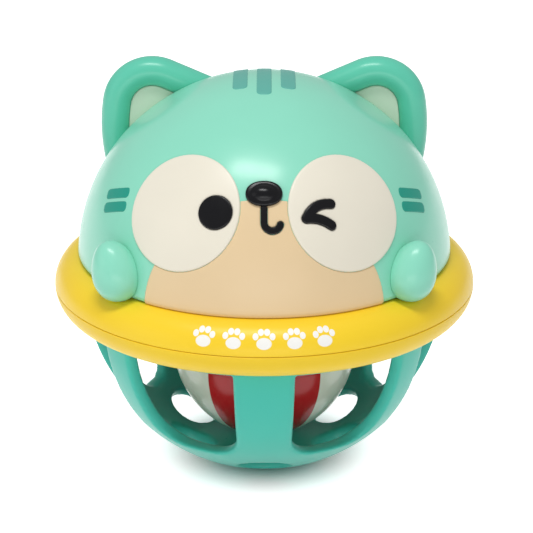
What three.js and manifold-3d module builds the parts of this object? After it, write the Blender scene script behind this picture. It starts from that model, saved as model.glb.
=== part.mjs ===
// Cat rattle ball. A cat's head rises from a swim ring over a ribbed cage, and a striped rattle
// ball turns on an upright spindle inside the cage. Millimetres, +Z up. The origin is the middle
// of the flat foot, and the face looks along -Y.
import * as THREE from 'three';
import { mergeVertices } from 'three/addons/utils/BufferGeometryUtils.js';
import Module from 'manifold-3d';

// Room between pieces that touch
const GAP = 0.3;

// Head: a thin dome whose rim rests on the ring
const HEAD_R = 51.4;
const HEAD_WALL = 2.6;
const HEAD_RISE = 6;
const RIM_FILLET = 1.6;
const INLAY_DEPTH = 1.2;
const POST_R = 3.2;

// Ring: a hollow tube in two halves, its centreline a little inside the dome's radius
const TUBE_R = 7.7;
const TUBE_WALL = 2;
const TUBE_CHAMFER = 0.35;
const RING_INSET = 1.1;

// Cage: a ball shell with a saddle for the ring and a collar that rises through the ring's bore
const CAGE_INSET = 1.3;
const CAGE_WALL = 3.4;
const RING_RISE = 5.2;
const COLLAR_WALL = 2.6;
const LEDGE_WIDTH = 6.5;
const LEDGE_T = 2.4;
const FOOT_R = 12;
const FLOOR_T = 2.7;
const RECESS_R = 8.6;
const RECESS_DEPTH = 2.6;

// Openings of the cage: tall windows between upright ribs, and a row of round holes below them
const RIB_WIDTH = 16.4;
const FRONT_RIB_TURN = 53.4;
const FRONT_RIB_WIDTH = 11.4;
const SIDE_RIB_TURN = 92;
const SIDE_RIB_WIDTH = 8.4;
const BACK_RIB_TURN = 136;
const RIM_BAND = 1.6;
const SILL_Z = 13.4;
const WINDOW_CORNER = 4;
const HOLE_R = 6.8;
const HOLE_POLAR = 29.5;
const HOLE_TURN = 64;

// Rattle ball, its spindle and what carries them
const BALL_R = 25.5;
const BALL_WALL = 1.8;
const POLE_R = 5;
const LIP_REACH = 2;
const LIP_T = 1.2;
const SPINDLE_R = 2;
const SPINDLE_HEAD_R = 3.6;
const SPINDLE_GRIP = 6;
const SLEEVE_WALL = 1.7;
const WASHER_T = 1.1;
const BEAD_R = 2.2;
const BEAD_COUNT = 6;
const CAP_T = 1.1;
const CAP_SKIRT = 1.5;

// Deck that closes the head, and the screws that draw the head down on the cage
const DECK_T = 2.2;
const BOSS_WALL = 2.7;
const SCREW_COUNT = 4;
const SCREW_R = 1.4;
const SCREW_HEAD_R = 2.8;
const SCREW_HEAD_T = 1.8;
const SCREW_GRIP = 9;

// Ears: a round hoop about an upright plane, closed at the back by a web
const EAR_Y = 14;
const EAR_HOOP_R = 4.1;
const EAR_TIP_R = 9.9;
const EAR_LEAN = 38.3;
const EAR_STAND = 0.7;
const EAR_LEG = 24;
const EAR_OUTER_TURN = 190;
const EAR_INNER_TURN = 66.5;
const EAR_WEB_T = 4.4;
const EAR_PANEL_T = 1.2;

// Face: places and sizes are millimetres along the dome's skin, from the middle of the front up
const EYE_R = 15.6;
const EYE_BETWEEN = 12.5;
const EYE_UP = 28;
const EYE_PROUD = 0.6;
const PUPIL_R = 4.4;
const PUPIL_INSET = 9.5;
const PUPIL_LIFT = 0.6;
const MARK_PROUD = 0.4;
const MARK_DEPTH = 0.6;
const WINK_WIDTH = 2.4;
const WINK_INSET = 8.3;
const WINK_DROP = 0.6;
const WINK_BOW = 0.6;
const WINK_CORNER = [-2.95, -0.4];
const WINK_TIPS = [[4.1, 2.75], [3.4, -2.8]];
const MUZZLE_R = 33.5;
const MOUTH_WIDTH = 1.7;
const MOUTH_DROP = 7.1;
const MOUTH_STEM = 3;
const MOUTH_HOOK_R = 2.1;
const NOSE_LIFT = 0.4;
const NOSE_WIDTH = 9.4;
const NOSE_HEIGHT = 6.7;
const NOSE_PROUD = 2.3;
const STRIPE_WIDTH = 4;
const STRIPE_SPACING = 6.4;
const STRIPE_SIDE_REACH = [-9.2, 17];
const STRIPE_MIDDLE_REACH = [-13, 20];
const CHEEK_SIDE = 46.6;
const CHEEK_UP = 25.1;
const CHEEK_TILT = 19.3;
const CHEEK_LENGTH = 10.2;
const CHEEK_WIDTH = 2.85;
const CHEEK_SPACING = 3.75;

// Paws: eggs that lean on the dome and hang over the ring
const PAW_ANGLE = 47.2;
const PAW_WIDTH = 6.2;
const PAW_HEIGHT = 8.3;
const PAW_PROUD = 1;
const PAW_RISE = 7.3;
const PAW_TILT = 18;
const PAW_BELLY_RATIO = 0.14;

// Facets of the round pieces
const ROUND = 28;
const BALL_ROUND = 24;
const SMALL_ROUND = 16;
const TINY_ROUND = 8;
const DOME_STEPS = 7;
const CAGE_STEPS = 7;
const TUBE_STEPS = 8;
const BALL_STEPS = 5;
const EAR_STEPS = 10;
const STROKE_STEPS = 12;
const INNER_STEPS = 3;

// Levels and radii that follow from the sizes above
const ringR = HEAD_R - RING_INSET;
const cageR = ringR - CAGE_INSET;
const cageZ = Math.sqrt(cageR ** 2 - FOOT_R ** 2);
const ringZ = cageZ + RING_RISE;
const headZ = ringZ + HEAD_RISE;
const rimLevel = TUBE_R + GAP - HEAD_RISE;
const collarR = ringR - TUBE_R - GAP;
const collarBore = collarR - COLLAR_WALL;
const screwCircle = collarBore - LEDGE_WIDTH / 2;
const spindleBore = SPINDLE_R + GAP;
const sleeveR = spindleBore + SLEEVE_WALL;
const poleHeight = Math.sqrt(BALL_R ** 2 - POLE_R ** 2);
const floorZ = RECESS_DEPTH + FLOOR_T;
const washerStack = GAP + WASHER_T + GAP;
const ballZ = floorZ + washerStack + poleHeight;
const deckZ = ballZ + poleHeight + washerStack;
const deckTop = deckZ + DECK_T;
const ledgeZ = deckZ - GAP;
const screwBore = SCREW_R + GAP;
const screwTop = deckTop + GAP + SCREW_GRIP;
const spindleTop = deckTop + SPINDLE_GRIP - BOSS_WALL / 2;

// How far a cutter reaches past the skin that it cuts
const STAMP_REACH = 12;
const HOLE_REACH = 7;

const WELD = 1e-4;
const UP = new THREE.Vector3(0, 1, 0);
const radians = THREE.MathUtils.degToRad;

// Solids: three.js shapes become closed bodies that can be joined and cut
const wasm = await Module();
wasm.setup();

function solid(geometry) {
  const bare = new THREE.BufferGeometry();
  bare.setAttribute('position', geometry.getAttribute('position'));
  bare.setIndex(geometry.getIndex());
  const welded = mergeVertices(bare, WELD);
  const corners = welded.getIndex().array;
  const faces = [];
  for (let i = 0; i < corners.length; i += 3) {
    const [a, b, c] = corners.slice(i, i + 3);
    if (a !== b && b !== c && c !== a) faces.push(a, b, c);
  }
  const vertProperties = new Float32Array(welded.getAttribute('position').array);
  const close = (triVerts) => new wasm.Manifold(new wasm.Mesh({ numProp: 3, vertProperties, triVerts }));
  const body = close(new Uint32Array(faces));
  return body.volume() > 0 ? body : close(new Uint32Array(faces.reverse()));
}

function surface(body) {
  const { vertProperties, triVerts } = body.getMesh();
  const geometry = new THREE.BufferGeometry();
  geometry.setAttribute('position', new THREE.BufferAttribute(new Float32Array(vertProperties), 3));
  geometry.setIndex(new THREE.BufferAttribute(new Uint32Array(triVerts), 1));
  geometry.computeVertexNormals();
  return geometry;
}

const joined = (bodies) => bodies.reduce((whole, body) => whole.add(body));
const moved = (geometry, x, y, z) => geometry.translate(x, y, z);

// Points on an arc of the (radius, height) plane, turning from one angle to another in degrees
function arc(x, y, r, from, to, steps) {
  const points = [];
  for (let i = 0; i <= steps; i += 1) {
    const a = radians(from + ((to - from) * i) / steps);
    points.push(new THREE.Vector2(x + r * Math.cos(a), y + r * Math.sin(a)));
  }
  return points;
}

const at = (r, z) => new THREE.Vector2(r, z);
const angleOf = (point, x, y) => THREE.MathUtils.radToDeg(Math.atan2(point.y - y, point.x - x));

// Where two circles of the (radius, height) plane cross, on the side nearer the axis or farther
function crossing(x1, y1, r1, x2, y2, r2, side) {
  const span = Math.hypot(x2 - x1, y2 - y1);
  const along = (span ** 2 + r1 ** 2 - r2 ** 2) / (2 * span);
  const off = side * Math.sqrt(r1 ** 2 - along ** 2);
  const ux = (x2 - x1) / span;
  const uy = (y2 - y1) / span;
  return at(x1 + ux * along + uy * off, y1 + uy * along - ux * off);
}

// A profile of (radius, height) points turned about the upright axis; off the axis it closes on itself
function turned(profile, rounds = ROUND) {
  const last = profile[profile.length - 1];
  const open = profile[0].x > 0 || last.x > 0;
  const outline = open ? [...profile, profile[0].clone()] : profile;
  return new THREE.LatheGeometry(outline, rounds).rotateX(Math.PI / 2);
}

function post(r, z0, z1, rounds = SMALL_ROUND) {
  return turned([at(0, z0), at(r, z0), at(r, z1), at(0, z1)], rounds);
}

// Place on a ball, as a direction from its centre: a turn from the front towards +X, and a rise
function direction(turn, rise) {
  const a = radians(turn);
  const e = radians(rise);
  return new THREE.Vector3(Math.sin(a) * Math.cos(e), -Math.cos(a) * Math.cos(e), Math.sin(e));
}

const ringPlace = (turn, r) => direction(turn, 0).multiplyScalar(r);

// Frame at a spot on the dome's skin, a distance to the side and a distance up from the middle of
// the front: X level, Y up the skin, Z straight out
function skinFrame(side, up) {
  const rise = up / HEAD_R;
  const turn = side / (HEAD_R * Math.cos(rise));
  const out = direction(THREE.MathUtils.radToDeg(turn), THREE.MathUtils.radToDeg(rise));
  const level = new THREE.Vector3(Math.cos(turn), Math.sin(turn), 0);
  return new THREE.Matrix4().makeBasis(level, out.clone().cross(level), out);
}

// Cone from the dome's centre that cuts a round of the given radius out of its skin
function roundCutter(side, up, r) {
  const reach = HEAD_R + STAMP_REACH;
  const edge = at(reach * Math.tan(r / HEAD_R), reach);
  const cone = turned([at(0, 0), edge, at(0, reach)], BALL_ROUND);
  return solid(cone.applyMatrix4(skinFrame(side, up)));
}

// Flat outline pressed through the dome's skin from outside
function stampCutter(shape, side, up) {
  const geometry = new THREE.ExtrudeGeometry(shape, { depth: 2 * STAMP_REACH, bevelEnabled: false });
  moved(geometry, 0, 0, HEAD_R - STAMP_REACH);
  return solid(geometry.applyMatrix4(skinFrame(side, up)));
}

// Band of the given width along a line, with round ends
function bandShape(points, width) {
  const half = width / 2;
  const normals = points.map((point, i) => {
    const before = points[Math.max(i - 1, 0)];
    const after = points[Math.min(i + 1, points.length - 1)];
    const along = after.clone().sub(before).normalize();
    return at(-along.y, along.x);
  });
  const side = (sign) => points.map((point, i) => point.clone().addScaledVector(normals[i], sign * half));
  const end = (point, normal) => {
    const from = angleOf(normal, 0, 0);
    return arc(point.x, point.y, half, from, from - 180, 5).slice(1, -1);
  };
  const last = points.length - 1;
  const tail = normals[0].clone().negate();
  const oneWay = [...side(1), ...end(points[last], normals[last])];
  const otherWay = [...side(-1).reverse(), ...end(points[0], tail)];
  return new THREE.Shape([...oneWay, ...otherWay]);
}

const looks = {};
function look(name, color, roughness, metalness = 0) {
  looks[name] = { color, roughness, metalness };
}
look('mint', 0x91dfc6, 0.28);
look('teal', 0x55bea8, 0.3);
look('yellow', 0xfcd637, 0.35);
look('cream', 0xf2eee2, 0.35);
look('peach', 0xf0dcb6, 0.4);
look('black', 0x17181b, 0.2);
look('stripe', 0x84b8b2, 0.35);
look('cheek', 0x33a594, 0.35);
look('earInner', 0xb9d6bd, 0.5);
look('offWhite', 0xe4e2d2, 0.25);
look('steel', 0xc4c6c8, 0.3, 1);
look('natural', 0xe9e6da, 0.5);
look('rubber', 0x3f8f80, 0.8);

function piece(group, name, shape, lookName) {
  const geometry = shape.isBufferGeometry ? surface(solid(shape)) : surface(shape);
  const mesh = new THREE.Mesh(geometry, new THREE.MeshStandardMaterial(looks[lookName]));
  mesh.name = name;
  group.add(mesh);
  return mesh;
}

const toy = new THREE.Group();
const ring = new THREE.Group();
const head = new THREE.Group();
const ball = new THREE.Group();
ring.position.z = ringZ;
head.position.z = headZ;
ball.position.z = ballZ;
toy.add(ring, head, ball);

// Cage. The outside is a ball down to the flat foot. Its top curves in under the ring as a saddle
// of even wall and rises through the ring's bore as a collar with a ledge for the deck.
function cageBody() {
  const saddleR = TUBE_R + GAP;
  const underR = saddleR + COLLAR_WALL;
  const innerR = cageR - CAGE_WALL;
  const outerTop = crossing(0, cageZ, cageR, ringR, ringZ, saddleR, 1);
  const innerTop = crossing(0, cageZ, innerR, ringR, ringZ, underR, 1);
  const floorR = Math.sqrt(innerR ** 2 - (cageZ - floorZ) ** 2);
  const footTurn = angleOf(at(FOOT_R, 0), 0, cageZ);
  const floorTurn = angleOf(at(floorR, floorZ), 0, cageZ);
  const saddleTurn = angleOf(outerTop, ringR, ringZ);
  const underTurn = angleOf(innerTop, ringR, ringZ);
  return solid(turned([
    at(spindleBore, RECESS_DEPTH),
    at(RECESS_R, RECESS_DEPTH),
    at(RECESS_R, 0),
    ...arc(0, cageZ, cageR, footTurn, angleOf(outerTop, 0, cageZ), CAGE_STEPS),
    ...arc(ringR, ringZ, saddleR, saddleTurn, -180, INNER_STEPS).slice(1),
    at(collarR, ledgeZ),
    at(collarBore - LEDGE_WIDTH, ledgeZ),
    at(collarBore - LEDGE_WIDTH, ledgeZ - LEDGE_T),
    at(collarBore, ledgeZ - LEDGE_T),
    ...arc(ringR, ringZ, underR, -180, underTurn, INNER_STEPS),
    ...arc(0, cageZ, innerR, angleOf(innerTop, 0, cageZ), floorTurn, CAGE_STEPS - 3).slice(1),
    at(spindleBore, floorZ),
  ]));
}

// A window fills the space between two ribs. Its sides run parallel to the ribs, so that each rib
// keeps one width. It is round at the sill and square under the ring.
const windowTop = ringZ - TUBE_R - RIM_BAND;
const belowWindowTop = solid(post(cageR * 2, 0, windowTop));

function windowCutter([from, fromWidth], [to, toWidth]) {
  const turn = radians(to - from);
  const [p, q] = [fromWidth / 2, toWidth / 2];
  const inward = at((p * Math.cos(turn) + q) / Math.sin(turn), p);
  const reach = cageR * 2;
  const far = at(reach, p);
  const other = at(Math.cos(turn), Math.sin(turn)).multiplyScalar(reach).add(inward);
  const shape = new THREE.Shape([inward, far, other]);
  const geometry = new THREE.ExtrudeGeometry(shape, {
    depth: windowTop - SILL_Z,
    bevelThickness: WINDOW_CORNER,
    bevelSize: WINDOW_CORNER,
    bevelOffset: -WINDOW_CORNER,
    bevelSegments: 2,
  });
  geometry.rotateZ(radians(from - 90));
  return solid(moved(geometry, 0, 0, SILL_Z + WINDOW_CORNER)).intersect(belowWindowTop);
}

function holeCutter(turn) {
  const out = direction(turn, HOLE_POLAR - 90);
  const geometry = new THREE.CylinderGeometry(HOLE_R, HOLE_R, 2 * HOLE_REACH, SMALL_ROUND);
  geometry.applyQuaternion(new THREE.Quaternion().setFromUnitVectors(UP, out));
  const middle = out.multiplyScalar(cageR - CAGE_WALL / 2);
  return solid(moved(geometry, middle.x, middle.y, middle.z + cageZ));
}

const everyTurn = (count, start = 0) => Array.from({ length: count }, (_, i) => start + (360 * i) / count);
const screwTurns = everyTurn(SCREW_COUNT, 180 / SCREW_COUNT);

function screwBores(z0, z1) {
  return joined(screwTurns.map((turn) => {
    const place = ringPlace(turn, screwCircle);
    return solid(moved(post(screwBore, z0, z1, TINY_ROUND), place.x, place.y, 0));
  }));
}

const rightRibs = [
  [FRONT_RIB_TURN, FRONT_RIB_WIDTH],
  [SIDE_RIB_TURN, SIDE_RIB_WIDTH],
  [BACK_RIB_TURN, RIB_WIDTH],
];
const leftRibs = rightRibs.map(([turn, width]) => [360 - turn, width]).reverse();
const ribs = [[0, RIB_WIDTH], ...rightRibs, [180, RIB_WIDTH], ...leftRibs, [360, RIB_WIDTH]];
const windows = ribs.slice(1).map((rib, i) => windowCutter(ribs[i], rib));
const holes = [0, HOLE_TURN, 180 - HOLE_TURN, 180, 180 + HOLE_TURN, -HOLE_TURN].map(holeCutter);
const ledgeBores = screwBores(ledgeZ - LEDGE_T - 1, ledgeZ + 1);
piece(toy, 'cage', cageBody().subtract(joined([...windows, ...holes, ledgeBores])), 'teal');

// Foot cap: a cup pressed into the foot from below, over the head of the spindle
piece(toy, 'foot_cap', turned([
  at(0, 0),
  at(RECESS_R - GAP, 0),
  at(RECESS_R - GAP, RECESS_DEPTH - GAP),
  at(RECESS_R - GAP - CAP_SKIRT, RECESS_DEPTH - GAP),
  at(RECESS_R - GAP - CAP_SKIRT, CAP_T),
  at(0, CAP_T),
], SMALL_ROUND), 'rubber');

// Spindle: a headed pin from the foot up into the deck's boss
piece(toy, 'spindle', turned([
  at(0, CAP_T + GAP),
  at(SPINDLE_HEAD_R, CAP_T + GAP),
  at(SPINDLE_HEAD_R, RECESS_DEPTH - GAP),
  at(SPINDLE_R, RECESS_DEPTH - GAP),
  at(SPINDLE_R, spindleTop - GAP),
  at(0, spindleTop - GAP),
], SMALL_ROUND), 'steel');

// Washers that carry and steady the ball's sleeve
function washer(name, z) {
  const profile = [at(spindleBore, 0), at(sleeveR, 0), at(sleeveR, WASHER_T), at(spindleBore, WASHER_T)];
  piece(toy, name, turned(profile, SMALL_ROUND), 'natural').position.z = z;
}
washer('lower_washer', floorZ + GAP);
washer('upper_washer', deckZ - GAP - WASHER_T);

// Deck: a disc on the cage's ledge that closes the head and holds the spindle's upper end
const bossR = spindleBore + BOSS_WALL;
const bossTop = spindleTop + BOSS_WALL / 2;
const deck = solid(turned([
  at(spindleBore, deckZ),
  at(collarR, deckZ),
  at(collarR, deckTop),
  at(bossR, deckTop),
  at(bossR, bossTop),
  at(0, bossTop),
  at(0, spindleTop),
  at(spindleBore, spindleTop),
]));
piece(toy, 'deck_plate', deck.subtract(screwBores(deckZ - 1, deckTop + 1)), 'natural');

// Screws: each passes the ledge and the deck from below and bites in a post of the head
const screwSeat = ledgeZ - LEDGE_T - GAP;
screwTurns.forEach((turn, i) => {
  const screw = turned([
    at(0, -SCREW_HEAD_T),
    at(SCREW_HEAD_R, -SCREW_HEAD_T),
    at(SCREW_HEAD_R, 0),
    at(SCREW_R, 0),
    at(SCREW_R, screwTop - GAP - screwSeat),
    at(0, screwTop - GAP - screwSeat),
  ], TINY_ROUND);
  const place = ringPlace(turn, screwCircle);
  piece(toy, `case_screw_${i + 1}`, screw, 'steel').position.set(place.x, place.y, screwSeat);
});

// Ring: two hollow halves that meet at a fine line round the middle
function ringHalf(sign) {
  const seam = GAP / 2;
  const slant = TUBE_CHAMFER;
  const outerTurn = angleOf(at(TUBE_R, seam + slant), 0, 0);
  const seamTurn = 2 * angleOf(at(TUBE_R - TUBE_WALL, seam), 0, 0);
  const profile = [
    at(TUBE_R - slant, seam),
    ...arc(0, 0, TUBE_R, outerTurn, 180 - outerTurn, TUBE_STEPS),
    at(slant - TUBE_R, seam),
    at(TUBE_WALL - TUBE_R, seam),
    ...arc(0, 0, TUBE_R - TUBE_WALL, 180 - seamTurn, seamTurn, INNER_STEPS),
    at(TUBE_R - TUBE_WALL, seam),
  ];
  return turned(profile.map((point) => at(ringR + point.x, sign * point.y)));
}
piece(ring, 'ring_upper', ringHalf(1), 'yellow');
piece(ring, 'ring_lower', ringHalf(-1), 'yellow');

// Solids of the head's outside, raised or sunk by a level: the dome has its rim's edge rolled
// inwards, and the core runs straight down past the rim
const foldR = Math.sqrt((HEAD_R - RIM_FILLET) ** 2 - (rimLevel + RIM_FILLET) ** 2);
const foldTurn = angleOf(at(foldR, rimLevel + RIM_FILLET), 0, 0);

function domeBody(level) {
  const fillet = RIM_FILLET + level;
  return solid(turned([
    at(0, HEAD_R + level),
    ...arc(0, 0, HEAD_R + level, 90, foldTurn, DOME_STEPS).slice(1),
    ...arc(foldR, rimLevel + RIM_FILLET, fillet, foldTurn, -90, INNER_STEPS).slice(1),
    at(0, rimLevel - level),
  ]));
}

function coreBody(level) {
  const skin = arc(0, 0, HEAD_R + level, 90, foldTurn, DOME_STEPS).slice(1);
  const low = rimLevel - HEAD_RISE;
  return solid(turned([at(0, HEAD_R + level), ...skin, at(skin[skin.length - 1].x, low), at(0, low)]));
}

const ballSolid = (r) => solid(new THREE.SphereGeometry(r, ROUND, 2 * DOME_STEPS).rotateX(Math.PI / 2));
const dome = domeBody(0);
const clearOfDome = domeBody(GAP);
const inlayFloor = coreBody(GAP - INLAY_DEPTH);
const flushSkin = dome.subtract(inlayFloor);

// Marks of the face, as cutters that widen by a margin for their pockets. The nose and the mouth
// hang from the muzzle's upper edge, and the eyes' marks from the middle of their pads.
const eyeSide = EYE_BETWEEN / 2 + EYE_R;
const eyeCutter = (side, margin = 0) => roundCutter(side * eyeSide, EYE_UP, EYE_R + margin);
const muzzleCutter = (margin = 0) => roundCutter(0, 0, MUZZLE_R + margin);

function pupilCutter(margin = 0) {
  return roundCutter(PUPIL_INSET - eyeSide, EYE_UP + PUPIL_LIFT, PUPIL_R + margin);
}

function winkCutter(margin = 0) {
  const corner = at(...WINK_CORNER);
  return joined(WINK_TIPS.map((point) => {
    const tip = at(...point);
    const along = tip.clone().sub(corner).normalize();
    const bend = corner.clone().add(tip).multiplyScalar(0.5);
    bend.addScaledVector(at(-along.y, along.x), 2 * WINK_BOW);
    const line = new THREE.QuadraticBezierCurve(corner, bend, tip).getPoints(STROKE_STEPS / 2);
    const arm = bandShape(line, WINK_WIDTH + 2 * margin);
    return stampCutter(arm, eyeSide - WINK_INSET, EYE_UP - WINK_DROP);
  }));
}

function mouthCutter(margin = 0) {
  const line = new THREE.Path();
  line.moveTo(0, MOUTH_STEM);
  line.lineTo(0, 0);
  line.absarc(MOUTH_HOOK_R, 0, MOUTH_HOOK_R, Math.PI, Math.PI * 2, false);
  const hook = bandShape(line.getSpacedPoints(STROKE_STEPS), MOUTH_WIDTH + 2 * margin);
  return stampCutter(hook, 0, MUZZLE_R - MOUTH_DROP);
}

function stripeCutter(x, [front, back], margin = 0) {
  const half = STRIPE_WIDTH / 2;
  const line = [at(x, front + half), at(x, back - half)];
  return stampCutter(bandShape(line, STRIPE_WIDTH + 2 * margin), 0, (HEAD_R * Math.PI) / 2);
}

function cheekCutter(side, row, margin = 0) {
  const half = (CHEEK_LENGTH - CHEEK_WIDTH) / 2;
  const along = at(Math.cos(radians(CHEEK_TILT)), Math.sin(radians(CHEEK_TILT)));
  const middle = at(-along.y, along.x).multiplyScalar((0.5 - row) * CHEEK_SPACING);
  const ends = [-half, half].map((step) => middle.clone().addScaledVector(along, step));
  const line = ends.map((end) => at(-side * end.x, end.y));
  return stampCutter(bandShape(line, CHEEK_WIDTH + 2 * margin), side * CHEEK_SIDE, CHEEK_UP);
}

const SIDES = { left: -1, right: 1 };
const stripes = {
  forehead_stripe_left: [-STRIPE_SPACING, STRIPE_SIDE_REACH],
  forehead_stripe_middle: [0, STRIPE_MIDDLE_REACH],
  forehead_stripe_right: [STRIPE_SPACING, STRIPE_SIDE_REACH],
};

// Head shell: a dome with a pocket for each inlay and a post for each screw
function headShell() {
  const inner = ballSolid(HEAD_R - HEAD_WALL);
  const posts = joined(screwTurns.map((turn) => {
    const place = ringPlace(turn, screwCircle);
    return solid(moved(post(POST_R, deckTop + GAP - headZ, HEAD_R, TINY_ROUND), place.x, place.y, 0));
  }));
  const bores = screwBores(deckTop - headZ, screwTop - headZ);
  const pockets = joined([
    muzzleCutter(GAP),
    ...Object.values(SIDES).map((side) => eyeCutter(side, GAP)),
    ...Object.values(stripes).map((stripe) => stripeCutter(...stripe, GAP)),
    ...Object.values(SIDES).flatMap((side) => [0, 1].map((row) => cheekCutter(side, row, GAP))),
  ]).subtract(coreBody(-INLAY_DEPTH));
  const shell = dome.subtract(inner).add(posts.intersect(coreBody(-HEAD_WALL / 2)));
  return shell.subtract(bores).subtract(pockets);
}
piece(head, 'head_shell', headShell(), 'mint');

// Eye pads stand a little proud of the skin, and the marks sit in their own recesses
function eyePad(side, recess) {
  const pad = eyeCutter(side).intersect(domeBody(EYE_PROUD).subtract(inlayFloor));
  return pad.subtract(recess.subtract(coreBody(EYE_PROUD - MARK_DEPTH - GAP)));
}
const markSkin = domeBody(EYE_PROUD + MARK_PROUD).subtract(coreBody(EYE_PROUD - MARK_DEPTH));
piece(head, 'eye_pad_left', eyePad(SIDES.left, pupilCutter(GAP)), 'cream');
piece(head, 'eye_pad_right', eyePad(SIDES.right, winkCutter(GAP)), 'cream');
piece(head, 'pupil', pupilCutter().intersect(markSkin), 'black');
piece(head, 'wink_mark', winkCutter().intersect(markSkin), 'black');

// Muzzle: one flush inlay round the eye pads, with a slot for the mouth
const muzzle = muzzleCutter().intersect(flushSkin);
const beside = joined([eyeCutter(SIDES.left, GAP), eyeCutter(SIDES.right, GAP), mouthCutter(GAP)]);
piece(head, 'muzzle', muzzle.subtract(beside), 'peach');
piece(head, 'mouth', mouthCutter().intersect(domeBody(MARK_PROUD).subtract(inlayFloor)), 'black');

const noseShape = new THREE.SphereGeometry(1, SMALL_ROUND, 8);
noseShape.scale(NOSE_WIDTH / 2, NOSE_HEIGHT / 2, NOSE_PROUD);
moved(noseShape, 0, 0, HEAD_R).applyMatrix4(skinFrame(0, MUZZLE_R + NOSE_LIFT));
piece(head, 'nose', solid(noseShape).subtract(clearOfDome), 'black');

for (const [name, stripe] of Object.entries(stripes)) {
  piece(head, name, stripeCutter(...stripe).intersect(flushSkin), 'stripe');
}
for (const [name, side] of Object.entries(SIDES)) {
  piece(head, `cheek_bar_upper_${name}`, cheekCutter(side, 0).intersect(flushSkin), 'cheek');
  piece(head, `cheek_bar_lower_${name}`, cheekCutter(side, 1).intersect(flushSkin), 'cheek');
}

// Ears. The outline is a leg, a round tip and a leg, set in or out from the hoop's centreline, and
// everything that would reach into the dome is cut away.
function earLine(side, inset, steps) {
  const reach = Math.sqrt(HEAD_R ** 2 - EAR_Y ** 2) + EAR_STAND;
  const lean = radians(EAR_LEAN);
  const tip = at(-reach * Math.sin(lean), reach * Math.cos(lean));
  const bend = arc(tip.x, tip.y, EAR_TIP_R - inset, EAR_OUTER_TURN, EAR_INNER_TURN, steps);
  const outer = radians(EAR_OUTER_TURN);
  const inner = radians(EAR_INNER_TURN);
  const start = bend[0].clone().add(at(-Math.sin(outer), Math.cos(outer)).multiplyScalar(EAR_LEG));
  const end = bend[steps].clone().add(at(Math.sin(inner), -Math.cos(inner)).multiplyScalar(EAR_LEG));
  return [start, ...bend, end].map((point) => at(-side * point.x, point.y));
}

function earPlate(side, inset, y, thickness) {
  const shape = new THREE.Shape(earLine(side, inset, EAR_STEPS));
  const geometry = new THREE.ExtrudeGeometry(shape, { depth: thickness, bevelEnabled: false });
  return solid(moved(geometry.rotateX(Math.PI / 2), 0, y + thickness, 0));
}

function earHoop(side) {
  const line = earLine(side, 0, EAR_STEPS).map((point) => new THREE.Vector3(point.x, EAR_Y, point.y));
  const path = new THREE.CatmullRomCurve3(line, false, 'centripetal');
  const section = new THREE.Shape().absarc(0, 0, EAR_HOOP_R, 0, Math.PI * 2, false);
  const settings = { steps: 16, curveSegments: 6, extrudePath: path, bevelEnabled: false };
  return solid(new THREE.ExtrudeGeometry(section, settings));
}

for (const [name, side] of Object.entries(SIDES)) {
  const web = earPlate(side, 0, EAR_Y - GAP, EAR_WEB_T);
  const panel = earPlate(side, EAR_HOOP_R + GAP, EAR_Y - 2 * GAP - EAR_PANEL_T, EAR_PANEL_T);
  piece(head, `ear_${name}`, earHoop(side).add(web).subtract(clearOfDome), 'mint');
  piece(head, `ear_panel_${name}`, panel.subtract(clearOfDome), 'earInner');
}

// Paws: egg shapes, fuller below, cut to lean on the dome and on the ring
const clearOfRing = solid(moved(new THREE.TorusGeometry(ringR, TUBE_R + GAP, 20, ROUND), 0, 0, -HEAD_RISE));
for (const [name, side] of Object.entries(SIDES)) {
  const steps = 8;
  const profile = [];
  for (let i = 0; i <= steps; i += 1) {
    const a = (Math.PI * i) / steps;
    const r = i % steps === 0 ? 0 : PAW_WIDTH * Math.sin(a) * (1 + PAW_BELLY_RATIO * Math.cos(a));
    profile.push(at(r, -PAW_HEIGHT * Math.cos(a)));
  }
  const place = ringPlace(side * PAW_ANGLE, HEAD_R + PAW_PROUD);
  const egg = turned(profile, SMALL_ROUND).rotateY(side * radians(PAW_TILT));
  moved(egg, place.x, place.y, TUBE_R + PAW_RISE - HEAD_RISE);
  piece(head, `paw_${name}`, solid(egg).subtract(coreBody(GAP)).subtract(clearOfRing), 'mint');
}

// Rattle ball: two half shells lapped at the middle, glued on a sleeve that turns on the spindle
function ballHalf(sign, lapped) {
  const innerR = BALL_R - BALL_WALL;
  const seam = GAP / 2;
  const bore = sleeveR + GAP;
  const lipR = Math.sqrt(innerR ** 2 - LIP_REACH ** 2) - GAP;
  const poleTurn = angleOf(at(POLE_R, -poleHeight), 0, 0);
  const boreTurn = angleOf(at(bore, -Math.sqrt(innerR ** 2 - bore ** 2)), 0, 0);
  const foot = lapped ? -2 * LIP_REACH : -seam;
  const footR = Math.sqrt(innerR ** 2 - foot ** 2);
  const lip = [
    at(lipR, -seam),
    at(lipR, LIP_REACH),
    at(lipR - LIP_T, LIP_REACH),
    at(lipR - LIP_T, -LIP_REACH),
  ];
  const profile = [
    at(bore, -poleHeight),
    ...arc(0, 0, BALL_R, poleTurn, angleOf(at(BALL_R, -seam), 0, 0), BALL_STEPS),
    ...(lapped ? lip : []),
    ...arc(0, 0, innerR, angleOf(at(footR, foot), 0, 0), boreTurn, BALL_STEPS),
  ];
  return turned(profile.map((point) => at(point.x, sign * point.y)), BALL_ROUND);
}
piece(ball, 'ball_lower', ballHalf(1, true), 'offWhite');
piece(ball, 'ball_upper', ballHalf(-1, false), 'offWhite');
piece(ball, 'ball_sleeve', turned([
  at(spindleBore, -poleHeight),
  at(sleeveR, -poleHeight),
  at(sleeveR, poleHeight),
  at(spindleBore, poleHeight),
], SMALL_ROUND), 'natural');

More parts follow.
